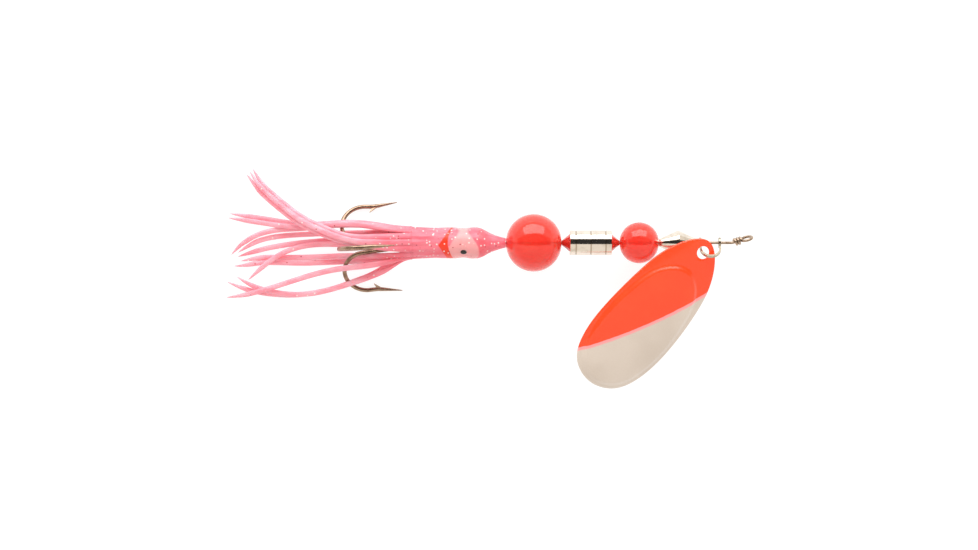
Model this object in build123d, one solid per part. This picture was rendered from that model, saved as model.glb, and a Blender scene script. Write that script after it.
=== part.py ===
"""Inline spinner: a blade on a stirrup clevis, beads and a metal sleeve on a wire shaft,
and a treble hook in a soft squid skirt. It lies on a table, on its big bead, its hooks and
the far end of its blade.

Frame, in millimetres: origin at the centre of the line eye, +X forwards along the shaft,
+Z up from the table. The twisted eye stands EYE_RISE to one side of the shaft, so the shaft's
line is y = -EYE_RISE. Every piece is built with the shaft on the X axis, and save() moves it.
"""

from build123d import *
import os
from math import atan2, cos, degrees, radians, sin, tan

os.makedirs("parts", exist_ok=True)

# Shaft wire and its two wrapped eyes
WIRE_R = 0.33
EYE_RISE = 1.0
NECK_ANGLE = 16.0
LINE_EYE_R = 1.3
REAR_EYE_R = 1.5
EYE_TILT = 19.0
WRAP_TURNS = 2.5
WRAP_PITCH = 0.70
WRAP_R = 2 * WIRE_R + 0.02

# Fits along the wire
BORE_R = WIRE_R + 0.08
GAP = 0.05

# Pieces threaded on the wire, from the front to the back
BICONE_FRONT = -12.0
BICONE_LENGTH = 9.3
BICONE_R = 3.0
BICONE_TIP_R = 0.9
SMALL_BEAD_R = 5.0
BIG_BEAD_R = 7.0
BEAD_FLATTENING = 0.25
FACET_BEAD_R = 2.05
FACET_TIP_R = 0.65
FACET_HALF = 1.85
FACETS = 8
SLEEVE_R = 3.03
SLEEVE_LENGTH = 10.25
GROOVE_WIDTH = 0.26
GROOVE_DEPTH = 0.14

# Stirrup clevis
CLEVIS_FRONT = -6.6
CLEVIS_SPAN = 4.7
CLEVIS_LEG = 2.0
CLEVIS_ROLL = 41.0
STRIP_T = 0.45
STRIP_W = 0.7
EAR_R = 1.3

# Blade: hole centre, the way it points, and the slopes of its plane
BLADE_HOLE = (-10.8, -2.4, 1.85)
BLADE_HEADING = 230.4
BLADE_SLOPES = (-0.177, 0.342)
BLADE_T = 0.6
BLADE_HOLE_R = 1.55
BLADE_TIP = 3.0
BLADE_REACH = 42.0
BLADE_OFFSET = -0.45
LENGTH_BEND_R = 110.0
WIDTH_BEND_R = 32.0
PANEL_RISE = 0.4
PANEL_WALL = 0.6

# Squid skirt and the bead inside its head
SKIRT_LENGTH = 24.05
KEEPER_R = 2.2
KEEPER_BACK = 6.3
STRAND_R = 0.5
STRAND_ROOT_R = 3.7
STRANDS = 14

# Treble hook, in a frame with its swing pivot at the origin and its shank towards -X
REAR_EYE_BACK = 12.15
HOOK_R = 0.525
HOOK_EYE_R = 1.35
SHANK_OFFSET = HOOK_R / sin(radians(60)) + 0.05
SHANK_STRAIGHT = 13.0
FLARE_R = 30.0
FLARE_ANGLE = 5.0
LEAD = 5.75
BEND_R = 5.3
BEND_ANGLE = 179.0
POINT_LEG = 1.6
KICK_ANGLE = 12.0
KICK_R = 5.0
POINT_LENGTH = 5.4
POINT_TIP_R = 0.10
TREBLE_YAW = 3.5
TREBLE_DROOP = 1.3

# Places along the wire that follow from the sizes
SMALL_BEAD_X = BICONE_FRONT - BICONE_LENGTH - GAP - (SMALL_BEAD_R - BEAD_FLATTENING)
FRONT_FACET_X = SMALL_BEAD_X - (SMALL_BEAD_R - BEAD_FLATTENING) - GAP - FACET_HALF
REAR_FACET_X = FRONT_FACET_X - SLEEVE_LENGTH
BIG_BEAD_X = REAR_FACET_X - FACET_HALF - GAP - (BIG_BEAD_R - BEAD_FLATTENING)
NOSE_X = BIG_BEAD_X - (BIG_BEAD_R - BEAD_FLATTENING) - GAP
REAR_EYE_X = NOSE_X - REAR_EYE_BACK
PIVOT_X = REAR_EYE_X - REAR_EYE_R
HOOK_EYE_X = -(HOOK_EYE_R - WIRE_R - HOOK_R - GAP)


def save(name, shape):
    """Write one node, moved from the shaft's line to its place beside the line eye."""
    export_step(Pos(0, -EYE_RISE, 0) * shape, f"parts/{name}.step")


def round_wire(path, radius):
    """A round wire along a path."""
    return sweep(Plane(origin=path @ 0, z_dir=path % 0) * Circle(radius), path=path)


def rod_x(radius, start, end):
    """A rod on the X axis from x = start back to x = end."""
    return Pos((start + end) / 2, 0, 0) * Rot(0, 90, 0) * Cylinder(radius, start - end)


# ---------------------------------------------------------------- shaft wire
def wrapped_eye(ring_r, tilt):
    """A twisted eye: its ring round the origin, its neck and wraps towards -X."""
    ring = Rot(90 + tilt, 0, 0) * Torus(ring_r, WIRE_R)
    coil = round_wire(Helix(WRAP_PITCH, WRAP_TURNS * WRAP_PITCH, WRAP_R), WIRE_R)
    neck = Plane(origin=(-ring_r - 0.1, 0, 0), x_dir=(0, 0, 1), z_dir=(-1, 0, 0))
    return ring + neck.location * coil


def shaft_wire():
    bend_x = -EYE_RISE / tan(radians(NECK_ANGLE))
    neck = Vector(LINE_EYE_R, 0, 0).rotate(Axis.Z, NECK_ANGLE)
    path = FilletPolyline(
        (REAR_EYE_X + REAR_EYE_R, 0, 0),
        (bend_x, 0, 0),
        (-neck.X, EYE_RISE - neck.Y, 0),
        radius=1.5,
    )
    line_eye = Pos(0, EYE_RISE, 0) * Rot(0, 0, NECK_ANGLE) * wrapped_eye(LINE_EYE_R, EYE_TILT)
    rear_eye = Pos(REAR_EYE_X, 0, 0) * Rot(0, 0, 180) * wrapped_eye(REAR_EYE_R, 0)
    return round_wire(path, WIRE_R) + line_eye + rear_eye


# ---------------------------------------------------------------- beads and sleeve
def turned(*edges):
    """A solid of revolution about the X axis, from the edges of its closed profile."""
    return revolve(make_face([*edges]), Axis.X)


def round_bead(centre, radius, flattening):
    """A moulded bead, slightly shorter along its hole than across."""
    half = radius - flattening
    rim = BORE_R + 0.2
    back, front = centre - half, centre + half
    crown = ThreePointArc((back, rim), (centre, radius), (front, rim))
    hole = Polyline((front, rim), (front, BORE_R), (back, BORE_R), (back, rim))
    return turned(crown, hole)


def bicone_bead():
    front, back = BICONE_FRONT, BICONE_FRONT - BICONE_LENGTH
    middle = (front + back) / 2
    outline = Polyline(
        (front, BORE_R),
        (front, BICONE_TIP_R),
        (middle + 0.12, BICONE_R),
        (middle - 0.12, BICONE_R),
        (back, BICONE_TIP_R),
        (back, BORE_R),
        close=True,
    )
    return turned(outline)


def faceted_bead(centre):
    """A cut bead: two eight-sided pyramids base to base, with their tips cut off."""
    slant = degrees(atan2(FACET_BEAD_R - FACET_TIP_R, FACET_HALF))
    waist = Plane.YZ.offset(centre) * RegularPolygon(FACET_BEAD_R, FACETS)
    bead = extrude(waist, FACET_HALF, taper=slant) + extrude(waist, -FACET_HALF, taper=slant)
    return bead - rod_x(BORE_R, centre + 2 * FACET_HALF, centre - 2 * FACET_HALF)


def metal_sleeve():
    """A turned sleeve with three fine grooves, and a cup in each end for a faceted bead."""
    front, back = FRONT_FACET_X, REAR_FACET_X
    lip_r = FACET_BEAD_R + 0.12
    cup = FACET_HALF + 0.1
    edge = 0.15
    outline = Polyline(
        (front, lip_r),
        (front, SLEEVE_R - edge),
        (front - edge, SLEEVE_R),
        (back + edge, SLEEVE_R),
        (back, SLEEVE_R - edge),
        (back, lip_r),
        (back + cup, FACET_TIP_R + 0.1),
        (back + cup, BORE_R),
        (front - cup, BORE_R),
        (front - cup, FACET_TIP_R + 0.1),
        close=True,
    )
    sleeve = turned(outline)
    for share in (0.15, 0.50, 0.85):
        groove_x = front - share * SLEEVE_LENGTH
        ring = rod_x(SLEEVE_R + 1, groove_x + GROOVE_WIDTH / 2, groove_x - GROOVE_WIDTH / 2)
        sleeve -= ring - rod_x(SLEEVE_R - GROOVE_DEPTH, groove_x + 1, groove_x - 1)
    return sleeve


# ---------------------------------------------------------------- clevis and blade
def clevis():
    """A strip bent into a U, with an ear at each end that turns on the wire."""
    roll = radians(CLEVIS_ROLL)
    u_plane = Plane(origin=(0, 0, 0), x_dir=(1, 0, 0), z_dir=(0, -sin(roll), -cos(roll)))
    middle = CLEVIS_FRONT - CLEVIS_SPAN / 2
    front_leg = Line((CLEVIS_FRONT, 0), (CLEVIS_FRONT, CLEVIS_LEG))
    crown = CenterArc((middle, CLEVIS_LEG), CLEVIS_SPAN / 2, 0, 180)
    back_leg = Line((CLEVIS_FRONT - CLEVIS_SPAN, CLEVIS_LEG), (CLEVIS_FRONT - CLEVIS_SPAN, 0))
    outline = trace(front_leg + crown + back_leg, STRIP_T)
    piece = extrude(u_plane * outline, STRIP_W / 2, both=True)
    for ear_x in (CLEVIS_FRONT, CLEVIS_FRONT - CLEVIS_SPAN):
        piece += rod_x(EAR_R, ear_x + STRIP_T / 2, ear_x - STRIP_T / 2)
    return piece - rod_x(BORE_R, CLEVIS_FRONT + 1, CLEVIS_FRONT - CLEVIS_SPAN - 1)


def oval(*points):
    """A smooth symmetric outline, from its two ends and the points of one side."""
    other_side = [(x, -y) for x, y in reversed(points[1:-1])]
    return Pos(0, BLADE_OFFSET) * make_face(Spline(*points, *other_side, periodic=True))


def blade():
    """A domed oval with a raised panel. In its own frame x runs from the hole to the far end."""
    slope_x, slope_y = BLADE_SLOPES
    normal = Vector(-slope_x, -slope_y, 1).normalized()
    plan = radians(BLADE_HEADING)
    along = Vector(cos(plan), sin(plan), slope_x * cos(plan) + slope_y * sin(plan))
    place = Plane(origin=BLADE_HOLE, x_dir=along, z_dir=normal)

    rim = oval((-BLADE_TIP, 0), (3.2, 6.6), (12.0, 9.2), (23.5, 10.25), (34.0, 9.3), (39.0, 6.9), (BLADE_REACH, 0))
    panel_side = [(5.6, 0), (9.3, 5.9), (15.6, 8.2), (23.5, 9.2), (33.0, 8.35), (38.0, 6.1), (40.9, 0)]
    panel = oval(*panel_side)
    length_share = 1 - PANEL_WALL / 17.65
    width_share = 1 - PANEL_WALL / 9.2
    panel_inside = oval(*[(23.25 + (x - 23.25) * length_share, y * width_share) for x, y in panel_side])

    middle = (BLADE_REACH - BLADE_TIP) / 2
    hole_drop = middle**2 / (2 * LENGTH_BEND_R)

    def dome(rise):
        """The space under a surface bent both ways, at this height over the middle sheet."""
        body = Torus(LENGTH_BEND_R - WIDTH_BEND_R, WIDTH_BEND_R + rise)
        return Pos(middle, 0, hole_drop - LENGTH_BEND_R) * Rot(90, 0, 0) * body

    def prism(outline):
        return Pos(0, 0, -8) * extrude(outline, 16)

    half_t = BLADE_T / 2
    outside = prism(rim) & dome(half_t)
    outside += prism(panel) & dome(half_t + PANEL_RISE)
    sheet = outside - dome(-half_t)
    sheet -= prism(panel_inside) & dome(PANEL_RISE - half_t)
    sheet -= Cylinder(BLADE_HOLE_R, 16)
    return place.location * sheet


# ---------------------------------------------------------------- squid skirt
def skirt_head():
    """The skirt's hollow head and tube, up to where its strands are cut."""
    outer = Spline(
        (NOSE_X, 1.15),
        (NOSE_X - 3.8, 2.35),
        (NOSE_X - 6.9, 3.9),
        (NOSE_X - 10.4, 3.4),
        (NOSE_X - 13.0, 3.8),
        (NOSE_X - 17.0, 3.66),
        (NOSE_X - SKIRT_LENGTH, 4.1),
    )
    cavity = Spline(
        (NOSE_X - 3.3, BORE_R),
        (NOSE_X - 4.9, 1.9),
        (NOSE_X - 7.0, 2.85),
        (NOSE_X - 10.4, 2.55),
        (NOSE_X - 13.0, 2.9),
        (NOSE_X - SKIRT_LENGTH, 3.3),
    )
    mouth = Line(outer @ 1, cavity @ 1)
    bore = Polyline(cavity @ 0, (NOSE_X, BORE_R), outer @ 0)
    return turned(outer, mouth, cavity, bore)


def strand(name, root_angle, *points):
    """One strand from its root on the tube's rim, as a rod as heavy as the real flat strip."""
    root = (
        NOSE_X - SKIRT_LENGTH - 5 * GAP,
        STRAND_ROOT_R * sin(radians(root_angle)),
        STRAND_ROOT_R * cos(radians(root_angle)),
    )
    route = [Vector(*p) for p in (root, *points)]
    radii = []
    for before, here, after in zip(route, route[1:], route[2:]):
        run = min((here - before).length, (after - here).length)
        turn = (here - before).get_angle(after - here)
        radii.append(0.45 * run / tan(radians(turn / 2)))
    save(name, round_wire(FilletPolyline(*route, radius=radii), STRAND_R))


def strands():
    """The fourteen strands, by the way they lie: over the hooks, under them, or beside."""
    step = 360 / STRANDS
    strand("strand_top_centre", 0,
           (-89.5, 0.05, 3.3), (-94.5, 0.2, 2.9), (-99.0, 1.3, 2.2), (-103.3, 3.1, 1.2),
           (-107.3, 4.9, -0.1), (-110.5, 7.0, -1.6), (-113.8, 9.6, -3.2), (-117.2, 12.4, -4.6),
           (-119.5, 14.8, -5.5), (-121.3, 17.7, -6.3))
    strand("strand_top_left", step,
           (-89.5, 1.4, 3.1), (-94.5, 1.2, 2.2), (-98.7, 2.05, 1.35), (-102.9, 3.8, 0.35),
           (-106.9, 5.6, -0.95), (-110.1, 7.7, -2.45), (-113.4, 10.3, -4.05), (-116.8, 13.1, -5.45),
           (-119.0, 15.45, -6.3), (-120.6, 18.4, -6.45))
    strand("strand_top_right", -step,
           (-89.5, -1.1, 2.75), (-94.5, -0.15, 1.6), (-99.3, 0.7, 1.1), (-103.8, 2.45, 0.25),
           (-107.8, 4.2, -0.95), (-111.0, 6.3, -2.45), (-114.3, 8.85, -4.05), (-117.7, 11.65, -5.45),
           (-120.0, 14.1, -6.3), (-122.1, 17.0, -6.45))
    strand("strand_left_upper", 2 * step,
           (-88.0, 3.5, 1.8), (-92.0, 4.2, 1.1), (-97.0, 4.65, 0.4), (-102.5, 4.3, -1.3),
           (-107.5, 3.9, -3.05), (-112.8, 4.15, -4.5), (-119.3, 5.2, -5.8), (-126.7, 6.25, -6.45))
    strand("strand_left_outer", 3 * step,
           (-88.0, 4.1, 0.3), (-92.0, 4.7, -0.3), (-97.0, 5.0, -0.9), (-102.5, 4.7, -2.6),
           (-107.5, 4.5, -4.3), (-112.5, 5.1, -5.7), (-118.9, 6.25, -6.35), (-126.3, 7.3, -6.45))
    strand("strand_left_long", 4 * step,
           (-88.5, 4.1, -1.5), (-93.0, 4.4, -2.0), (-97.8, 4.5, -2.5), (-103.0, 4.2, -4.2),
           (-108.3, 3.6, -5.45), (-114.2, 3.4, -5.5), (-118.8, 2.4, -5.0), (-122.1, 0.6, -5.2),
           (-124.2, -1.0, -5.6), (-125.9, -2.9, -6.3))
    strand("strand_left_low", 5 * step,
           (-88.5, 2.7, -2.7), (-93.0, 2.5, -3.8), (-97.8, 2.4, -4.7), (-103.0, 2.4, -5.5),
           (-108.0, 2.2, -6.2), (-113.0, 1.9, -6.45), (-117.5, 1.2, -6.2), (-120.9, -0.1, -5.6),
           (-124.1, -2.3, -5.4))
    strand("strand_under_left", 6 * step,
           (-89.0, 1.35, -4.3), (-94.0, 1.15, -5.4), (-98.9, 0.95, -6.1), (-104.0, 0.55, -6.4),
           (-109.3, 0.1, -6.45), (-114.0, -0.6, -6.4), (-118.9, -1.55, -6.45), (-124.3, -3.3, -6.45))
    strand("strand_under_centre", 7 * step,
           (-89.0, 0.0, -4.0), (-94.0, -0.2, -4.5), (-98.9, -0.3, -4.9), (-103.5, -0.2, -5.1),
           (-107.9, -0.6, -5.2), (-112.5, -2.0, -5.1), (-116.3, -4.3, -5.15), (-119.6, -7.1, -5.7),
           (-121.7, -9.0, -6.45))
    strand("strand_right_upper", -2 * step,
           (-88.0, -3.2, 0.6), (-92.8, -3.2, -2.0), (-97.5, -3.1, -4.2), (-103.0, -3.3, -5.7),
           (-108.5, -3.5, -6.35), (-114.0, -3.45, -6.45), (-118.8, -3.4, -6.4), (-123.6, -4.4, -6.45))
    strand("strand_right_low", -5 * step,
           (-88.5, -3.8, -3.2), (-92.8, -4.2, -4.1), (-97.5, -4.5, -5.2), (-103.0, -4.7, -6.25),
           (-108.5, -4.9, -6.45), (-114.0, -4.75, -6.4), (-119.0, -4.7, -6.45), (-122.6, -5.5, -6.4),
           (-125.3, -5.6, -6.45))
    strand("strand_right_outer", -3 * step,
           (-86.5, -4.6, 0.7), (-91.5, -5.5, 0.0), (-97.7, -6.1, -1.9), (-102.0, -6.8, -3.5),
           (-106.4, -7.9, -4.6), (-110.8, -9.3, -4.7), (-115.4, -10.8, -4.3), (-119.5, -12.0, -4.3),
           (-123.2, -12.9, -5.5), (-127.0, -13.3, -6.4))
    strand("strand_right_long", -4 * step,
           (-86.8, -6.3, -1.7), (-91.4, -8.2, -3.0), (-96.8, -10.0, -4.2), (-101.5, -11.4, -4.9),
           (-105.5, -12.3, -5.3), (-110.0, -12.7, -5.35), (-114.5, -12.2, -5.4), (-118.7, -11.2, -5.45),
           (-122.0, -9.8, -5.5), (-124.5, -8.2, -6.2))
    strand("strand_under_right", -6 * step,
           (-86.5, -4.9, -5.0), (-91.0, -7.7, -6.2), (-95.7, -9.4, -6.5), (-100.0, -11.0, -6.5),
           (-105.0, -12.2, -6.45), (-110.5, -12.8, -6.5), (-115.5, -12.6, -6.45), (-119.7, -12.0, -6.5),
           (-123.4, -11.0, -6.45), (-126.9, -9.5, -6.5))


# ---------------------------------------------------------------- treble hook
def barbed_hook(shank_start):
    """One hook in the XZ plane: shank on its way to -X, round bend, and a barbed point."""
    shank = Line((shank_start, SHANK_OFFSET), (-SHANK_STRAIGHT, SHANK_OFFSET))
    flare = JernArc(shank @ 1, shank % 1, FLARE_R, -FLARE_ANGLE)
    lead = Line(flare @ 1, flare @ 1 + (flare % 1) * LEAD)
    bend = JernArc(lead @ 1, lead % 1, BEND_R, -BEND_ANGLE)
    leg = Line(bend @ 1, bend @ 1 + (bend % 1) * POINT_LEG)
    kick = JernArc(leg @ 1, leg % 1, KICK_R, KICK_ANGLE)
    hook = round_wire(Wire([shank, flare, lead, bend, leg, kick]), HOOK_R)

    start, ahead = kick @ 1, kick % 1
    inward = Vector(ahead.Y, -ahead.X, 0)
    cone = Cone(HOOK_R, POINT_TIP_R, POINT_LENGTH, align=(Align.CENTER, Align.CENTER, Align.MIN))
    hook += Plane(origin=start, z_dir=ahead).location * cone
    barb = Polyline(
        start + ahead * 0.9,
        start - ahead * 0.7,
        start - ahead * 1.7 + inward * 1.45,
        close=True,
    )
    hook += extrude(make_face(barb), 0.2, both=True)
    return Rot(90, 0, 0) * hook


def place_treble(shape):
    """From the pivot's frame to the shaft's rear eye, as the hook lies on the table."""
    return Pos(PIVOT_X, 0, 0) * Rot(0, 0, TREBLE_YAW) * Rot(0, -TREBLE_DROOP, 0) * shape


def double_hook():
    """Two hooks and the eye, of one bent wire."""
    ring_back = HOOK_EYE_X - HOOK_EYE_R
    side_hook = barbed_hook(ring_back)
    ring = Pos(HOOK_EYE_X, 0, 0) * Torus(HOOK_EYE_R, HOOK_R)
    return ring + Rot(120, 0, 0) * side_hook + Rot(-120, 0, 0) * side_hook


def single_hook():
    """The third hook, whose shank stops behind the eye."""
    return barbed_hook(HOOK_EYE_X - HOOK_EYE_R - HOOK_R - 0.4)


def braze():
    """Braze in the three valleys between the shanks."""
    filling = rod_x(0.95, -4.0, -11.0)
    shank = Pos(0, 0, SHANK_OFFSET) * rod_x(HOOK_R, -3.0, -12.0)
    for turn in (0, 120, 240):
        filling -= Rot(turn, 0, 0) * shank
    return filling


save("shaft_wire", shaft_wire())
save("clevis", clevis())
save("blade", blade())
save("bicone_bead", bicone_bead())
save("small_bead", round_bead(SMALL_BEAD_X, SMALL_BEAD_R, BEAD_FLATTENING))
save("front_faceted_bead", faceted_bead(FRONT_FACET_X))
save("metal_sleeve", metal_sleeve())
save("rear_faceted_bead", faceted_bead(REAR_FACET_X))
save("big_bead", round_bead(BIG_BEAD_X, BIG_BEAD_R, BEAD_FLATTENING))
save("keeper_bead", round_bead(NOSE_X - KEEPER_BACK, KEEPER_R, 0.15))
save("skirt_head", skirt_head())
strands()
save("treble_double_hook", place_treble(double_hook()))
save("treble_single_hook", place_treble(single_hook()))
save("treble_braze", place_treble(braze()))
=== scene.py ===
"""Looks of the inline spinner: painted blade, translucent beads, plated metal and a squid skirt."""

import math

import bpy
import numpy as np
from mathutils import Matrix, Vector


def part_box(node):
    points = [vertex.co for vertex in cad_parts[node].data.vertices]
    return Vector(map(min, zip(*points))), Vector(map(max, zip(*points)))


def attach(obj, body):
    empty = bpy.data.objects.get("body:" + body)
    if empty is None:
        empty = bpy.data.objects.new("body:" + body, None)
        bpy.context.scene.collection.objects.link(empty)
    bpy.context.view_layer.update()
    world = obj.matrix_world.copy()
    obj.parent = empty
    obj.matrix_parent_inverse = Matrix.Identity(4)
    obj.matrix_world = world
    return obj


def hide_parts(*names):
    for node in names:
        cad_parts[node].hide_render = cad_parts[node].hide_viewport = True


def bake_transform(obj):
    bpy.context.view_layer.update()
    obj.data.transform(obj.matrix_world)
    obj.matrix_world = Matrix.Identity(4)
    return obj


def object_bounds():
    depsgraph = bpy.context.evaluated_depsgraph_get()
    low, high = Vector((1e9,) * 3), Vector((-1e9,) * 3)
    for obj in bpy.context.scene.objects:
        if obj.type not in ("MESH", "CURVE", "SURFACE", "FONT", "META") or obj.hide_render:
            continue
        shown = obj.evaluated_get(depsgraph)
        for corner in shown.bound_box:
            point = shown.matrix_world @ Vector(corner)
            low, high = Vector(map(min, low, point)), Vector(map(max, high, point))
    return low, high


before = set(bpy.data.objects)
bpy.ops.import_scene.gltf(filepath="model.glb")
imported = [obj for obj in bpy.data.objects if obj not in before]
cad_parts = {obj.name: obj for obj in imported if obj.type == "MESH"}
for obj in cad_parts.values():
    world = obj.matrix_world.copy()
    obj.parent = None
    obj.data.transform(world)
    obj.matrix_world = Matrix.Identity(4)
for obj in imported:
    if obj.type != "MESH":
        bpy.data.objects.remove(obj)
cad_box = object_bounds()

MM = 0.001

# Places in millimetres in the row frame: the shaft's line, then the skirt's nose, the end of
# its tube, where the strands begin, and its eyes
SHAFT_Y = -1.0
NOSE_X = -58.45
TUBE_END_X = -82.5
EYE_X = -68.6
EYE_LEAN = math.radians(40)  # of the upper eye, from +Z towards -Y


# ---------------------------------------------------------------- materials
NOISE_SPAN = (0.3, 0.7)  # nearly all of a noise texture's values lie between these


class Look:
    """A Principled material, with short ways to add procedural detail in millimetres."""

    def __init__(self, name, colour, roughness=0.4, metallic=0.0, **sockets):
        self.mat = bpy.data.materials.new(name)
        self.mat.use_nodes = True
        self.tree = self.mat.node_tree
        self.shader = self.tree.nodes["Principled BSDF"]
        self.set("Base Color", (*colour, 1))
        self.set("Roughness", roughness)
        self.set("Metallic", metallic)
        for socket, value in sockets.items():
            self.set(socket.replace("_", " "), value)
        place = self.node("ShaderNodeTexCoord")
        scale = self.node("ShaderNodeVectorMath", operation="SCALE")
        self.tree.links.new(place.outputs["Object"], scale.inputs[0])
        scale.inputs["Scale"].default_value = 1 / MM
        self.mm = scale.outputs[0]
        split = self.node("ShaderNodeSeparateXYZ")
        self.tree.links.new(self.mm, split.inputs[0])
        self.x, self.y, self.z = split.outputs

    def set(self, socket, value):
        self.shader.inputs[socket].default_value = value

    def node(self, kind, **settings):
        made = self.tree.nodes.new(kind)
        for key, value in settings.items():
            setattr(made, key, value)
        return made

    def plug(self, value, socket):
        """Link a socket, or set a number or colour."""
        if isinstance(value, bpy.types.NodeSocket):
            self.tree.links.new(value, socket)
        else:
            socket.default_value = value

    def math(self, operation, a, b=0.0, c=0.0):
        made = self.node("ShaderNodeMath", operation=operation)
        for value, socket in zip((a, b, c), made.inputs):
            self.plug(value, socket)
        return made.outputs[0]

    def plus(self, a, b):
        return self.math("ADD", a, b)

    def minus(self, a, b):
        return self.math("SUBTRACT", a, b)

    def times(self, a, b):
        return self.math("MULTIPLY", a, b)

    def scaled(self, value, factor, start):
        """start + factor * value."""
        return self.math("MULTIPLY_ADD", value, factor, start)

    def noise(self, scale, detail=3.0, stretch=None):
        made = self.node("ShaderNodeTexNoise")
        made.inputs["Scale"].default_value = scale
        made.inputs["Detail"].default_value = detail
        made.inputs["Roughness"].default_value = 0.55
        self.plug(self.stretched(stretch), made.inputs["Vector"])
        return made.outputs["Fac"]

    def cells(self, scale):
        """Voronoi cells: distance from each cell's centre, and a random colour per cell."""
        made = self.node("ShaderNodeTexVoronoi")
        made.inputs["Scale"].default_value = scale
        self.plug(self.mm, made.inputs["Vector"])
        return made.outputs["Distance"], made.outputs["Color"]

    def stretched(self, stretch):
        """The place in millimetres, with each axis multiplied if factors are given."""
        if stretch is None:
            return self.mm
        made = self.node("ShaderNodeVectorMath", operation="MULTIPLY")
        self.plug(self.mm, made.inputs[0])
        made.inputs[1].default_value = stretch
        return made.outputs[0]

    def ramp(self, value, low, high):
        """A smooth step from 0 at low to 1 at high, whichever of the two is larger."""
        made = self.node("ShaderNodeMapRange", interpolation_type="SMOOTHSTEP")
        self.plug(value, made.inputs["Value"])
        self.plug(low, made.inputs["From Min"])
        self.plug(high, made.inputs["From Max"])
        return made.outputs["Result"]

    def spread(self, value, low, high):
        """A noise value stretched to run from low to high."""
        made = self.node("ShaderNodeMapRange")
        self.plug(value, made.inputs["Value"])
        sockets = ("From Min", "From Max", "To Min", "To Max")
        for socket, number in zip(sockets, (*NOISE_SPAN, low, high)):
            made.inputs[socket].default_value = number
        return made.outputs["Result"]

    def mix(self, share, a, b):
        """Colour a where share is 0, b where it is 1."""
        made = self.node("ShaderNodeMix", data_type="RGBA")
        self.plug(share, made.inputs[0])
        # A mix node's colours are its inputs 6 and 7 and its output 2
        for value, socket in ((a, made.inputs[6]), (b, made.inputs[7])):
            self.plug(value if isinstance(value, bpy.types.NodeSocket) else (*value, 1), socket)
        return made.outputs[2]

    def bump(self, height, strength, distance_mm):
        made = self.node("ShaderNodeBump")
        made.inputs["Strength"].default_value = strength
        made.inputs["Distance"].default_value = distance_mm * MM
        self.plug(height, made.inputs["Height"])
        self.plug(made.outputs["Normal"], self.shader.inputs["Normal"])

    def colour(self, value):
        self.plug(value, self.shader.inputs["Base Color"])

    def rough(self, value):
        self.plug(value, self.shader.inputs["Roughness"])


def metal_look(name, colour, tarnish, roughness, grain):
    """Bare or plated metal: fine marks along X, faint stains, uneven polish."""
    look = Look(name, colour, roughness, 1.0)
    stain = look.ramp(look.noise(0.5, 4), 0.42, 0.75)
    look.colour(look.mix(stain, colour, tarnish))
    marks = look.noise(3.0, 4, stretch=grain)
    look.rough(look.spread(marks, roughness * 0.7, roughness * 1.5))
    look.bump(marks, 0.12, 0.03)
    return look


def nickel_look(name):
    """Bright plate on a part off a lathe, with rings round the X axis."""
    return metal_look(name, (0.84, 0.77, 0.68), (0.68, 0.61, 0.52), 0.10, (9, 0.2, 0.2))


GROOVES = (0.15, 0.50, 0.85)  # as shares of the sleeve's length, from its front
GROOVE_SHADE_EDGE = (0.24, 0.10)  # the painted groove shade fades in between these distances from a groove's middle


def sleeve_look():
    """The turned sleeve's plating, with painted shade in its three grooves."""
    look = nickel_look("sleeve_nickel")
    back, front = (corner[0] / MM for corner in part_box("metal_sleeve"))
    polish = look.shader.inputs["Base Color"].links[0].from_socket
    for share in GROOVES:
        off = look.math("ABSOLUTE", look.minus(look.x, front + share * (back - front)))
        # Painted shade: a darker line at each groove, standing in for the shading of the recess
        polish = look.mix(look.ramp(off, *GROOVE_SHADE_EDGE), polish, (0.50, 0.42, 0.33))
    look.colour(polish)
    return look


def bead_look():
    """Translucent red-orange moulded plastic."""
    colour = (1.0, 0.055, 0.036)
    look = Look("bead_plastic", colour, 0.06, 0.0, Transmission_Weight=0.45, IOR=1.40,
                Coat_Weight=0.45, Coat_Roughness=0.03)
    look.set("Subsurface Weight", 0.35)
    look.set("Subsurface Radius", (1.0, 0.25, 0.15))
    look.set("Subsurface Scale", 0.003)
    cloud = look.ramp(look.noise(0.35, 3), 0.35, 0.7)
    look.colour(look.mix(cloud, colour, (1.0, 0.075, 0.048)))
    flow = look.noise(0.8, 2, stretch=(0.4, 1, 1))
    look.rough(look.spread(flow, 0.04, 0.09))
    look.bump(flow, 0.05, 0.05)
    return look


# Marks on the skirt, in millimetres; each pair of numbers is where a mark fades in
PALING_LENGTH = 14  # of the strands, from the tube's end
EYE_DISC_EDGE = (3.95, 3.6)
KEEPER_REAR, KEEPER_FRONT = (-65.4, -64.6), (-61.2, -64.0)
GILL_TIP = (-74.75, -0.7)  # X, and Y from the shaft's line
GILL_SLANT = 0.70
GILL_FRONT_X = -72.4
GILL_BOW = 0.09
FLAKES_PER_MM = 1.15
FLAKE_EDGE = (0.27, 0.19)


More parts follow.
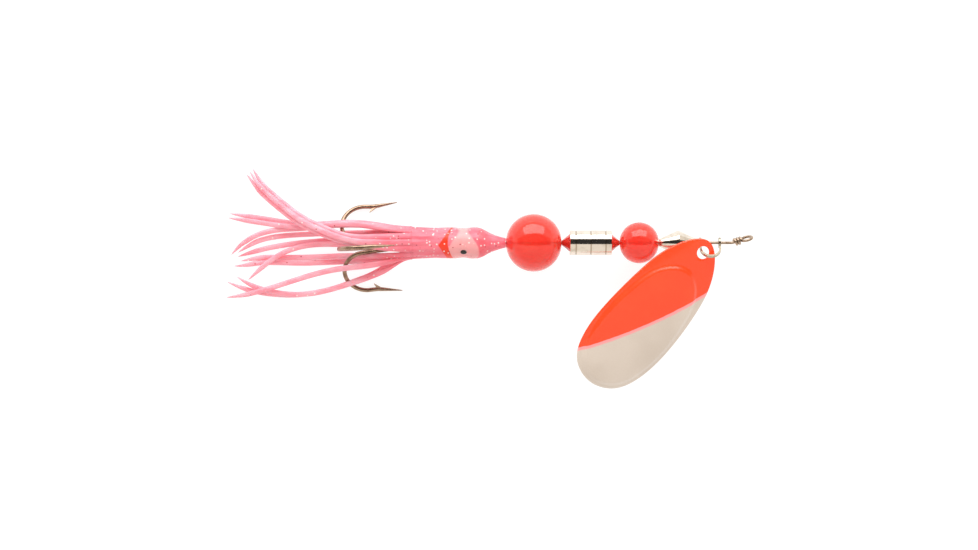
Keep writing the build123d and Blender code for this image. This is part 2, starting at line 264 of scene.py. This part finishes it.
def skirt_look():
    """Soft translucent pink with glitter, paler along the strands, with pale eyes and a gill."""
    look = Look("skirt_plastic", (1.0, 0.25, 0.33), 0.32, 0.0, IOR=1.42, Alpha=0.88,
                Coat_Weight=0.12, Coat_Roughness=0.2)
    look.set("Subsurface Weight", 0.4)
    look.set("Subsurface Radius", (1.0, 0.35, 0.3))
    look.set("Subsurface Scale", 0.0015)
    # From 0 on the tube to 1 along the strands
    free = look.ramp(look.x, TUBE_END_X, TUBE_END_X - PALING_LENGTH)
    cloud = look.ramp(look.noise(0.45, 3, stretch=(0.35, 1, 1)), 0.35, 0.68)
    tube = look.mix(cloud, (1.0, 0.245, 0.32), (1.0, 0.165, 0.23))
    strip = look.mix(cloud, (1.0, 0.46, 0.56), (1.0, 0.33, 0.42))
    colour = look.mix(free, tube, strip)

    # Pale discs round the eyes' axis
    y = look.minus(look.y, SHAFT_Y)
    across = look.plus(look.times(y, math.cos(EYE_LEAN)), look.times(look.z, math.sin(EYE_LEAN)))
    along = look.minus(look.x, EYE_X)
    squares = look.plus(look.times(across, across), look.times(along, along))
    disc = look.ramp(look.math("SQRT", squares), *EYE_DISC_EDGE)
    colour = look.mix(disc, colour, (1.0, 0.42, 0.44))
    # Redder in front of the eyes, where the keeper bead shows through
    ahead = look.times(look.ramp(look.x, *KEEPER_REAR), look.ramp(look.x, *KEEPER_FRONT))
    colour = look.mix(look.times(ahead, 0.55), colour, (1.0, 0.12, 0.15))
    # The gill behind the eyes: a V at its rear, a bowed line at its front
    off = look.math("ABSOLUTE", look.minus(y, GILL_TIP[1]))
    back = look.scaled(off, GILL_SLANT, GILL_TIP[0])
    front = look.scaled(look.times(y, y), GILL_BOW, GILL_FRONT_X)
    behind = look.ramp(look.minus(look.x, back), -0.15, 0.2)
    before = look.ramp(look.minus(front, look.x), -0.1, 0.15)
    colour = look.mix(look.times(behind, before), colour, (1.0, 0.055, 0.02))

    # Glitter: pale flakes and dark red dots, one size, scattered, and few along the strands
    distance, tone = look.cells(FLAKES_PER_MM)
    pick = look.node("ShaderNodeSeparateColor")
    look.plug(tone, pick.inputs[0])
    flake = look.ramp(distance, *FLAKE_EDGE)
    pale_above = look.scaled(free, 0.37, 0.58)
    dark_below = look.scaled(free, -0.12, 0.16)
    pale = look.times(flake, look.math("GREATER_THAN", pick.outputs[0], pale_above))
    dark = look.times(flake, look.math("LESS_THAN", pick.outputs[0], dark_below))
    colour = look.mix(pale, colour, (1.0, 0.86, 0.84))
    colour = look.mix(look.times(dark, 0.75), colour, (0.45, 0.03, 0.05))
    look.colour(colour)
    grain = look.noise(2.2, 3, stretch=(0.3, 1, 1))
    look.rough(look.mix(pale, look.spread(grain, 0.25, 0.42), (0.1, 0.1, 0.1)))
    look.bump(look.plus(grain, look.times(flake, 0.4)), 0.25, 0.08)
    return look


# ---------------------------------------------------------------- mesh helpers
def link(name, data):
    """A new object in the scene."""
    obj = bpy.data.objects.new(name, data)
    bpy.context.scene.collection.objects.link(obj)
    return obj


def mesh_object(name, vertices_mm, faces, look, body):
    """A smooth mesh from millimetres in the row frame, riding on a body if one is named."""
    mesh = bpy.data.meshes.new(name)
    mesh.from_pydata([tuple(v) for v in np.asarray(vertices_mm) * MM], [], faces)
    mesh.validate()
    mesh.polygons.foreach_set("use_smooth", [True] * len(mesh.polygons))
    mesh.materials.append(look.mat)
    obj = link(name, mesh)
    if body:
        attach(obj, body)
    return obj


def tube_faces(rings, around, offset=0, closed_ends=True):
    """Quads between rings of points, and one face over each end ring if the ends are closed."""
    faces = []
    for i in range(rings - 1):
        for j in range(around):
            a = offset + i * around + j
            b = offset + i * around + (j + 1) % around
            faces.append((a, b, b + around, a + around))
    if closed_ends:
        faces.append(tuple(offset + j for j in reversed(range(around))))
        last = offset + (rings - 1) * around
        faces.append(tuple(last + j for j in range(around)))
    return faces


def circle_angles(count):
    """Even angles round a circle."""
    return np.linspace(0, 2 * math.pi, count, endpoint=False)


def smooth_route(points, per_run):
    """Points along the smooth curve that touches the middle of each run of a route."""
    points = [np.array(p, float) for p in points]
    middles = [(a + b) / 2 for a, b in zip(points[1:-2], points[2:-1])]
    joints = [points[0], *middles, points[-1]]
    steps = np.linspace(0, 1, per_run, endpoint=False)[:, None]
    runs = []
    for start, corner, end in zip(joints, points[1:-1], joints[1:]):
        runs.append((1 - steps) ** 2 * start + 2 * steps * (1 - steps) * corner + steps**2 * end)
    return np.vstack([*runs, points[-1:]])


# ---------------------------------------------------------------- squid skirt
# Each strand's place round the tube, counted from the top, and its route from the tube's end in
# millimetres, with Y from the shaft's line
STRANDS = {
    "strand_top_centre": [0,
        (-89.5, 0.05, 3.3), (-94.5, 0.2, 2.9), (-99.0, 1.3, 2.2), (-103.3, 3.1, 1.2),
        (-107.3, 4.9, -0.1), (-110.5, 7.0, -1.6), (-113.8, 9.6, -3.2), (-117.2, 12.4, -4.6),
        (-119.5, 14.8, -5.5), (-121.3, 17.7, -6.3)],
    "strand_top_left": [1,
        (-89.5, 1.4, 3.1), (-94.5, 1.2, 2.2), (-98.7, 2.05, 1.35), (-102.9, 3.8, 0.35),
        (-106.9, 5.6, -0.95), (-110.1, 7.7, -2.45), (-113.4, 10.3, -4.05), (-116.8, 13.1, -5.45),
        (-119.0, 15.45, -6.3), (-120.6, 18.4, -6.45)],
    "strand_top_right": [-1,
        (-89.5, -1.1, 2.75), (-94.5, -0.15, 1.6), (-99.3, 0.7, 1.1), (-103.8, 2.45, 0.25),
        (-107.8, 4.2, -0.95), (-111.0, 6.3, -2.45), (-114.3, 8.85, -4.05), (-117.7, 11.65, -5.45),
        (-120.0, 14.1, -6.3), (-122.1, 17.0, -6.45)],
    "strand_left_upper": [2,
        (-88.0, 3.5, 1.8), (-92.0, 4.2, 1.1), (-97.0, 4.65, 0.4), (-102.5, 4.3, -1.3),
        (-107.5, 3.9, -3.05), (-112.8, 4.15, -4.5), (-119.3, 5.2, -5.8), (-126.7, 6.25, -6.45)],
    "strand_left_outer": [3,
        (-88.0, 4.1, 0.3), (-92.0, 4.7, -0.3), (-97.0, 5.0, -0.9), (-102.5, 4.7, -2.6),
        (-107.5, 4.5, -4.3), (-112.5, 5.1, -5.7), (-118.9, 6.25, -6.35), (-126.3, 7.3, -6.45)],
    "strand_left_long": [4,
        (-88.5, 4.1, -1.5), (-93.0, 4.4, -2.0), (-97.8, 4.5, -2.5), (-103.0, 4.2, -4.2),
        (-108.3, 3.6, -5.45), (-114.2, 3.4, -5.5), (-118.8, 2.4, -5.0), (-122.1, 0.6, -5.2),
        (-124.2, -1.0, -5.6), (-125.9, -2.9, -6.3)],
    "strand_left_low": [5,
        (-88.5, 2.7, -2.7), (-93.0, 2.5, -3.8), (-97.8, 2.4, -4.7), (-103.0, 2.4, -5.5),
        (-108.0, 2.2, -6.2), (-113.0, 1.9, -6.45), (-117.5, 1.2, -6.2), (-120.9, -0.1, -5.6),
        (-124.1, -2.3, -5.4)],
    "strand_under_left": [6,
        (-89.0, 1.35, -4.3), (-94.0, 1.15, -5.4), (-98.9, 0.95, -6.1), (-104.0, 0.55, -6.4),
        (-109.3, 0.1, -6.45), (-114.0, -0.6, -6.4), (-118.9, -1.55, -6.45), (-124.3, -3.3, -6.45)],
    "strand_under_centre": [7,
        (-89.0, 0.0, -4.0), (-94.0, -0.2, -4.5), (-98.9, -0.3, -4.9), (-103.5, -0.2, -5.1),
        (-107.9, -0.6, -5.2), (-112.5, -2.0, -5.1), (-116.3, -4.3, -5.15), (-119.6, -7.1, -5.7),
        (-121.7, -9.0, -6.45)],
    "strand_right_upper": [-2,
        (-88.0, -3.2, 0.6), (-92.8, -3.2, -2.0), (-97.5, -3.1, -4.2), (-103.0, -3.3, -5.7),
        (-108.5, -3.5, -6.35), (-114.0, -3.45, -6.45), (-118.8, -3.4, -6.4), (-123.6, -4.4, -6.45)],
    "strand_right_low": [-5,
        (-88.5, -3.8, -3.2), (-92.8, -4.2, -4.1), (-97.5, -4.5, -5.2), (-103.0, -4.7, -6.25),
        (-108.5, -4.9, -6.45), (-114.0, -4.75, -6.4), (-119.0, -4.7, -6.45), (-122.6, -5.5, -6.4),
        (-125.3, -5.6, -6.45)],
    "strand_right_outer": [-3,
        (-86.5, -4.6, 0.7), (-91.5, -5.5, 0.0), (-97.7, -6.1, -1.9), (-102.0, -6.8, -3.5),
        (-106.4, -7.9, -4.6), (-110.8, -9.3, -4.7), (-115.4, -10.8, -4.3), (-119.5, -12.0, -4.3),
        (-123.2, -12.9, -5.5), (-127.0, -13.3, -6.4)],
    "strand_right_long": [-4,
        (-86.8, -6.3, -1.7), (-91.4, -8.2, -3.0), (-96.8, -10.0, -4.2), (-101.5, -11.4, -4.9),
        (-105.5, -12.3, -5.3), (-110.0, -12.7, -5.35), (-114.5, -12.2, -5.4),
        (-118.7, -11.2, -5.45), (-122.0, -9.8, -5.5), (-124.5, -8.2, -6.2)],
    "strand_under_right": [-6,
        (-86.5, -4.9, -5.0), (-91.0, -7.7, -6.2), (-95.7, -9.4, -6.5), (-100.0, -11.0, -6.5),
        (-105.0, -12.2, -6.45), (-110.5, -12.8, -6.5), (-115.5, -12.6, -6.45),
        (-119.7, -12.0, -6.5), (-123.4, -11.0, -6.45), (-126.9, -9.5, -6.5)],
}
STRAND_ANGLE = 2 * math.pi / len(STRANDS)
STRAND_AROUND = 16
STRAND_PER_RUN = 10
ROOT_RADIUS = 3.7
ROOT_BACK = 0.25  # the root stands this far behind the tube's end
ROOT_OVERLAP = 1.6  # and the strand starts this far in front of its root
TURN_LENGTH = 14  # over which a strand turns from the tube's curve to lie flat
TAPER_SHARE = 0.11  # of its length, at the tip


def strand(name, step, *route):
    """A soft strip: as wide as its share of the tube at the root, narrower at the tip."""
    angle = step * STRAND_ANGLE
    root = np.array([TUBE_END_X - ROOT_BACK, ROOT_RADIUS * math.sin(angle),
                     ROOT_RADIUS * math.cos(angle)])
    inside = root + (ROOT_OVERLAP, 0, 0)
    line = smooth_route([inside, root, *route], STRAND_PER_RUN)
    line[:, 1] += SHAFT_Y
    tangent = np.gradient(line, axis=0)
    tangent /= np.linalg.norm(tangent, axis=1)[:, None]
    length = np.concatenate([[0], np.cumsum(np.linalg.norm(np.diff(line, axis=0), axis=1))])
    share = length / length[-1]
    round_tube = np.array([0, math.cos(angle), -math.sin(angle)])
    flat = np.cross(tangent, (0, 0, 1.0))
    # Of the two ways to lie flat, the one nearer the tube's curve; at its sides either will do
    if abs(math.cos(angle)) > 0.3:
        flat *= np.sign(flat @ round_tube + 1e-9)[:, None]
    turn = np.clip(length / TURN_LENGTH, 0, 1)[:, None]
    turn = turn * turn * (3 - 2 * turn)
    wide = (1 - turn) * round_tube + turn * flat
    wide -= np.sum(wide * tangent, axis=1)[:, None] * tangent
    wide /= np.linalg.norm(wide, axis=1)[:, None]
    thick = np.cross(tangent, wide)
    end = np.clip((1 - share) / TAPER_SHARE, 0.01, 1) ** 0.6
    # Millimetres, lessening towards the tip, with a flare at the root
    half_width = (0.76 - 0.16 * share + 0.13 * np.exp(-length / 4)) * end
    half_thick = (0.42 - 0.10 * share) * np.sqrt(end)
    rings = [
        centre + wide[i] * half_width[i] * math.cos(a) + thick[i] * half_thick[i] * math.sin(a)
        for i, centre in enumerate(line) for a in circle_angles(STRAND_AROUND)
    ]
    faces = tube_faces(len(line), STRAND_AROUND)
    piece = mesh_object("skirt_" + name, rings, faces, skirt_plastic, None)
    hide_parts(name)
    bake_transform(piece)


# The head's and the tube's radius by reach behind the nose
HEAD_PROFILE = [
    (0, 1.15), (1.6, 1.55), (3.8, 2.35), (5.6, 3.45), (6.9, 3.85), (8.6, 3.7), (10.4, 3.42),
    (11.8, 3.62), (13.0, 3.8), (15.0, 3.72), (17.0, 3.68), (20.5, 3.85), (24.05, 4.05)]
HEAD_RINGS = 121
HEAD_AROUND = 12 * len(STRANDS)
HEAD_SMOOTHING = 16
CAVITY_REACH = 3.2  # from here on the head is hollow
RIB_REACH, RIB_GROWTH = 15.5, 8  # where the ribs begin, and the length in which they grow
RIB_SINK, RIB_HEIGHT = 0.10, 0.13
EYE_BULGE, EYE_BULGE_RADIUS, EYE_BULGE_FADE = 0.10, 3.3, 0.6


def squid_head():
    """The skirt's head and tube: outside and inside walls, with ribs where the strands begin."""
    reaches, radii = np.array(HEAD_PROFILE).T
    reach = np.linspace(0, reaches[-1], HEAD_RINGS)
    radius = np.interp(reach, reaches, radii)
    for _ in range(HEAD_SMOOTHING):
        radius[1:-1] = (radius[:-2] + 2 * radius[1:-1] + radius[2:]) / 4
    wall = np.clip(reach * 0.18, 0.35, 0.6)  # thickening from the nose
    angles = circle_angles(HEAD_AROUND)
    ribs = np.cos(angles * len(STRANDS))
    start = np.clip((reach - RIB_REACH) / RIB_GROWTH, 0, 1)

    def ring(x, r, rib, bulge):
        """Points round the shaft's line, with ribs and with the eyes standing out."""
        points = []
        for a, lobe in zip(angles, ribs):
            y, z = math.sin(a), math.cos(a)
            across = r * (y * math.cos(EYE_LEAN) + z * math.sin(EYE_LEAN))
            off = math.hypot(across, x - EYE_X)
            fade = min(max((off - EYE_BULGE_RADIUS) / EYE_BULGE_FADE, 0), 1)
            here = r + rib * lobe + bulge * (1 - fade)
            points.append((x, SHAFT_Y + here * y, here * z))
        return points

    vertices = []
    for x, r, s in zip(NOSE_X - reach, radius, start):
        vertices += ring(x, r - RIB_SINK * s, RIB_HEIGHT * s, EYE_BULGE)
    inside = reach > CAVITY_REACH
    for x, r, w in reversed(list(zip(NOSE_X - reach[inside], radius[inside], wall[inside]))):
        vertices += ring(x, r - w, 0.0, 0.0)
    faces = tube_faces(len(vertices) // HEAD_AROUND, HEAD_AROUND)
    piece = mesh_object("skirt_squid_head", vertices, faces, skirt_plastic, "shaft")
    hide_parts("skirt_head")


PUPIL_OUT = 3.52  # from the shaft's line to the dot's foot
PUPIL_HALF_LENGTH, PUPIL_HALF_WIDTH, PUPIL_HEIGHT = 0.84, 0.66, 0.32
PUPIL_SINK = 0.02


def pupil(name, side):
    """A black painted dot standing slightly proud of the pale eye."""
    out = np.array([0, -math.sin(EYE_LEAN), math.cos(EYE_LEAN)]) * side
    across = np.array([0, math.cos(EYE_LEAN), math.sin(EYE_LEAN)]) * side
    along = np.array([1.0, 0, 0])
    centre = np.array([EYE_X, SHAFT_Y, 0]) + out * PUPIL_OUT
    rings, around = 7, 32
    vertices = []
    for k in range(rings):
        polar = math.pi / 2 * (1 - k / rings)
        height = PUPIL_HEIGHT * math.cos(polar) - PUPIL_SINK
        for a in circle_angles(around):
            flat = (along * PUPIL_HALF_LENGTH * math.cos(a)
                    + across * PUPIL_HALF_WIDTH * math.sin(a))
            vertices.append(centre + flat * math.sin(polar) + out * height)
    faces = tube_faces(rings, around)
    mesh_object(name, vertices, faces, pupil_paint, "shaft")


# ---------------------------------------------------------------- blade
HOLE = np.array([-10.8, -2.4 + SHAFT_Y, 1.85])
HOLE_RADIUS = 1.55
PLAN = math.radians(230.4)  # the blade's heading seen from above
SLOPES = (-0.177, 0.342)  # its rise along X and along Y
# Half outlines of the blade and of its raised panel, along and across from the hole
RIM_SIDE = [(-3.0, 0), (3.2, 6.6), (12.0, 9.2), (23.5, 10.25), (34.0, 9.3), (39.0, 6.9), (42.0, 0)]
PANEL_SIDE = [(5.6, 0), (9.3, 5.9), (15.6, 8.2), (23.5, 9.2), (33.0, 8.35), (38.0, 6.1), (40.9, 0)]
OUTLINE_SHIFT = -0.45  # of both outlines across the blade
PANEL_POINTS = 160
CURVE_STEPS = 200  # from one point of an outline to the next
SHEET = 0.6
EDGE_ROUNDING = 0.3
PANEL_RISE = 0.5
PANEL_STEP, PANEL_STEP_START = 1.1, 0.35  # the rise's width, and its share outside the outline
DOME_ALONG, DOME_ACROSS = 220, 64  # twice the dome's radii
# The border of the two paints, across from the hole: a slanting line, bowed about a middle
BORDER_START, BORDER_SLANT = 11.95, -0.5367
BORDER_MIDDLE, BORDER_BOW = 22, -0.0015


def blade_axes():
    """Directions along the blade, across it and out of its upper face."""
    normal = np.array([-SLOPES[0], -SLOPES[1], 1.0])
    normal /= np.linalg.norm(normal)
    along = np.array([math.cos(PLAN), math.sin(PLAN),
                      SLOPES[0] * math.cos(PLAN) + SLOPES[1] * math.sin(PLAN)])
    along /= np.linalg.norm(along)
    return along, np.cross(normal, along), normal


def oval(side, count):
    """Even points round the smooth closed curve through an outline's points."""
    knots = np.array(list(side) + [(x, -y) for x, y in reversed(side[1:-1])], float)
    knots[:, 1] += OUTLINE_SHIFT
    n = len(knots)
    gaps = np.linalg.norm(np.roll(knots, -1, axis=0) - knots, axis=1)
    # Slopes at the knots of a closed cubic spline
    rows, right = np.zeros((n, n)), np.zeros((n, 2))
    for i in range(n):
        h0, h1 = gaps[i - 1], gaps[i]
        rows[i, i - 1] += 1 / h0
        rows[i, i] += 2 / h0 + 2 / h1
        rows[i, (i + 1) % n] += 1 / h1
        right[i] = 3 * ((knots[i] - knots[i - 1]) / h0**2 + (knots[(i + 1) % n] - knots[i]) / h1**2)
    slopes = np.linalg.solve(rows, right)
    dense = []
    for i in range(n):
        t = np.linspace(0, 1, CURVE_STEPS, endpoint=False)[:, None]
        a, b, h = knots[i], knots[(i + 1) % n], gaps[i]
        dense.append((2 * t**3 - 3 * t**2 + 1) * a + (t**3 - 2 * t**2 + t) * h * slopes[i]
                     + (3 * t**2 - 2 * t**3) * b + (t**3 - t**2) * h * slopes[(i + 1) % n])
    dense = np.vstack(dense)
    steps = np.linalg.norm(np.roll(dense, -1, axis=0) - dense, axis=1)
    run = np.concatenate([[0], np.cumsum(steps)])
    places = np.linspace(0, run[-1], count, endpoint=False)
    closed = np.vstack([dense, dense[:1]])
    return np.stack([np.interp(places, run, closed[:, k]) for k in (0, 1)], axis=1)


def signed_depth(points, outline):
    """How far each point is inside a closed outline."""
    a, b = outline, np.roll(outline, -1, axis=0)
    edge = b - a
    best = np.full(len(points), 1e9)
    inside = np.zeros(len(points), bool)
    for start, step in zip(a, edge):
        rel = points - start
        t = np.clip(rel @ step / (step @ step), 0, 1)
        best = np.minimum(best, np.linalg.norm(rel - t[:, None] * step, axis=1))
        crosses = (rel[:, 1] < 0) != (rel[:, 1] - step[1] < 0)
        at_x = start[0] + step[0] * rel[:, 1] / (step[1] if step[1] else 1e-12)
        inside ^= crosses & (points[:, 0] < at_x)
    return np.where(inside, best, -best)


def blade():
    """The spinner blade: a domed sheet with a raised panel and rounded edges."""
    around, rings = 320, 96  # round the rim, and from the hole to the rim
    rim = oval(RIM_SIDE, around)
    panel = oval(PANEL_SIDE, PANEL_POINTS)
    # Rays from the hole's edge to the rim
    angle = np.arctan2(rim[:, 1], rim[:, 0])
    hole = np.stack([np.cos(angle), np.sin(angle)], axis=1) * HOLE_RADIUS
    shares = np.linspace(0, 1, rings)
    flat = np.vstack([hole + (rim - hole) * s for s in shares])
    edge = np.minimum(signed_depth(flat, rim), np.linalg.norm(flat, axis=1) - HOLE_RADIUS)
    step = np.clip(signed_depth(flat, panel) / PANEL_STEP + PANEL_STEP_START, 0, 1)
    middle = (RIM_SIDE[-1][0] + RIM_SIDE[0][0]) / 2
    dome = ((middle**2 - (flat[:, 0] - middle) ** 2) / DOME_ALONG
            - flat[:, 1] ** 2 / DOME_ACROSS)
    height = dome + PANEL_RISE * step * step * (3 - 2 * step)
    sharp = 1 - np.clip(edge / EDGE_ROUNDING, 0, 1)
    half = SHEET / 2 * np.sqrt(np.clip(1 - sharp**2, 0.02, 1))
    along, across, normal = blade_axes()
    base = HOLE + flat[:, :1] * along + flat[:, 1:] * across
    top = base + (height + half)[:, None] * normal
    under = base + (height - half)[:, None] * normal
    vertices = np.vstack([top, under])
    count = len(flat)
    faces = tube_faces(rings, around, 0, closed_ends=False)
    faces += [tuple(reversed(f)) for f in tube_faces(rings, around, count, closed_ends=False)]
    last = (rings - 1) * around
    for j in range(around):
        k = (j + 1) % around
        faces.append((last + j, last + k, count + last + k, count + last + j))
        faces.append((k, j, count + j, count + k))
    piece = mesh_object("spinner_blade", vertices, faces, blade_paint(), "blade")
    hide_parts("blade")


def blade_paint():
    """Orange-red paint over a pearly silver, with a pink line where they meet, clear coated."""
    orange, pearl, pink = (1.0, 0.060, 0.008), (0.64, 0.56, 0.49), (1.0, 0.36, 0.38)
    look = Look("blade_paint", orange, 0.25, 0.0, Coat_Weight=0.25, Coat_Roughness=0.06)
    along, across, _ = blade_axes()

    def reach(axis):
        """How far a place is from the hole along an axis."""
        product = look.node("ShaderNodeVectorMath", operation="DOT_PRODUCT")
        look.plug(look.mm, product.inputs[0])
        product.inputs[1].default_value = tuple(axis)
        return look.minus(product.outputs["Value"], float(HOLE @ axis))

    u, w = reach(along), reach(across)
    off = look.minus(u, BORDER_MIDDLE)
    bow = look.times(look.times(off, off), BORDER_BOW)
    border = look.plus(look.scaled(u, BORDER_SLANT, BORDER_START), bow)
    beyond = look.plus(look.minus(w, border), look.times(look.noise(0.6, 2), 0.25))
    silver = look.ramp(beyond, -0.05, 0.25)
    line = look.times(look.ramp(beyond, -0.45, -0.15), look.ramp(beyond, 0.75, 0.3))
    distance, _ = look.cells(7.0)
    flake = look.times(look.ramp(distance, 0.5, 0.1), 0.22)
    pearly = look.mix(look.ramp(look.noise(0.09, 2), 0.3, 0.7), pearl, (0.70, 0.62, 0.55))
    pearly = look.mix(flake, pearly, (0.92, 0.88, 0.84))
    painted = look.mix(look.ramp(look.noise(0.2, 3), 0.35, 0.7), orange, (1.0, 0.067, 0.010))
    colour = look.mix(silver, painted, pearly)
    look.colour(look.mix(line, colour, pink))
    look.plug(look.times(silver, 0.15), look.shader.inputs["Metallic"])
    look.rough(look.mix(silver, (0.25, 0.25, 0.25), (0.42, 0.42, 0.42)))
    peel = look.noise(1.1, 2)
    look.bump(look.plus(peel, look.times(silver, 0.3)), 0.08, 0.08)
    return look


# ---------------------------------------------------------------- stage
# Metres
AIM = Vector((-0.06, -0.01, 0))
FLOOR_REACH = 0.9
FLOOR_GREY, FLOOR_GLOW = (0.25, 0.25, 0.25), 3.4
CARD_REACH, CARD_HEIGHT, CARD_Y = 2, 0.6, (-0.14, 0.42)
CAMERA_OVER = (-0.0625, -0.0088)
# Millimetres: the camera looks straight down from this height on a strip of this width
CAMERA_HEIGHT, VIEW_WIDTH, SENSOR_WIDTH = 450, 237.2, 36


def area_light(name, place, size, power):
    data = bpy.data.lights.new(name, "AREA")
    data.shape = "RECTANGLE"
    data.size, data.size_y = size
    data.energy = power
    light = link(name, data)
    light.location = place
    light.rotation_euler = (AIM - Vector(place)).to_track_quat("-Z", "Y").to_euler()


def stage_plane(name, corners, colour, glow):
    """A matt sheet of the stage, which gives off light if glow is above 0."""
    mesh = bpy.data.meshes.new(name)
    mesh.from_pydata(corners, [], [(0, 1, 2, 3)])
    look = bpy.data.materials.new(name)
    look.use_nodes = True
    shader = look.node_tree.nodes["Principled BSDF"]
    shader.inputs["Base Color"].default_value = (*colour, 1)
    shader.inputs["Roughness"].default_value = 0.9
    shader.inputs["Emission Color"].default_value = (*colour, 1)
    shader.inputs["Emission Strength"].default_value = glow
    mesh.materials.append(look)
    obj = link(name, mesh)
    return obj


def stage():
    """A pale floor, a warm studio round it, a key light and a dark card that the metal reflects."""
    low, s = cad_box[0][2], FLOOR_REACH
    floor = [(-s, -s, low), (s, -s, low), (s, s, low), (-s, s, low)]
    stage_plane("floor", floor, FLOOR_GREY, FLOOR_GLOW)
    near, far = CARD_Y
    card = [(x, y, CARD_HEIGHT) for x, y in ((-CARD_REACH, near), (-CARD_REACH, far),
                                             (CARD_REACH, far), (CARD_REACH, near))]
    dark = stage_plane("dark_card", card, (0.01, 0.01, 0.01), 0.0)
    dark.visible_diffuse = dark.visible_shadow = False
    world = bpy.data.worlds.new("studio")
    world.use_nodes = True
    back = world.node_tree.nodes["Background"]
    back.inputs["Color"].default_value = (1.0, 0.93, 0.85, 1)
    back.inputs["Strength"].default_value = 0.95
    bpy.context.scene.world = world
    area_light("key", (-0.06, 0.40, 0.25), (0.75, 0.34), 2.5)

    data = bpy.data.cameras.new("camera")
    data.sensor_width = SENSOR_WIDTH
    data.lens = SENSOR_WIDTH * CAMERA_HEIGHT / VIEW_WIDTH
    data.clip_start, data.clip_end = 0.01, 10
    camera = link("camera", data)
    camera.location = (*CAMERA_OVER, CAMERA_HEIGHT * MM)
    bpy.context.scene.camera = camera
    bpy.context.scene.view_settings.view_transform = "Standard"


# ---------------------------------------------------------------- all together
wire_metal = metal_look("wire_metal", (0.46, 0.35, 0.26), (0.22, 0.14, 0.09), 0.28, (0.3, 6, 6))
strip_metal = metal_look("strip_metal", (0.46, 0.40, 0.31), (0.26, 0.21, 0.14), 0.24, (0.5, 5, 5))
nickel = nickel_look("nickel")
bronze = metal_look("bronze", (0.40, 0.28, 0.20), (0.20, 0.12, 0.08), 0.20, (0.3, 5, 5))
solder = metal_look("solder", (0.50, 0.42, 0.32), (0.25, 0.19, 0.13), 0.38, (1, 1, 1))
bead_plastic = bead_look()
skirt_plastic = skirt_look()
pupil_paint = Look("pupil_paint", (0.012, 0.010, 0.010), 0.15)
pupil_paint.rough(pupil_paint.spread(pupil_paint.noise(2.0), 0.1, 0.25))

CAD_LOOKS = {
    "shaft_wire": wire_metal,
    "clevis": strip_metal,
    "bicone_bead": nickel,
    "metal_sleeve": sleeve_look(),
    "small_bead": bead_plastic,
    "big_bead": bead_plastic,
    "front_faceted_bead": bead_plastic,
    "rear_faceted_bead": bead_plastic,
    "keeper_bead": bead_plastic,
    "treble_double_hook": bronze,
    "treble_single_hook": bronze,
    "treble_braze": solder,
}
for node, look in CAD_LOOKS.items():
    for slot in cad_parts[node].material_slots:
        slot.material = look.mat

squid_head()
for strand_name, (step, *route) in STRANDS.items():
    strand(strand_name, step, *route)
pupil("eye_pupil_top", 1)
pupil("eye_pupil_under", -1)
blade()
stage()
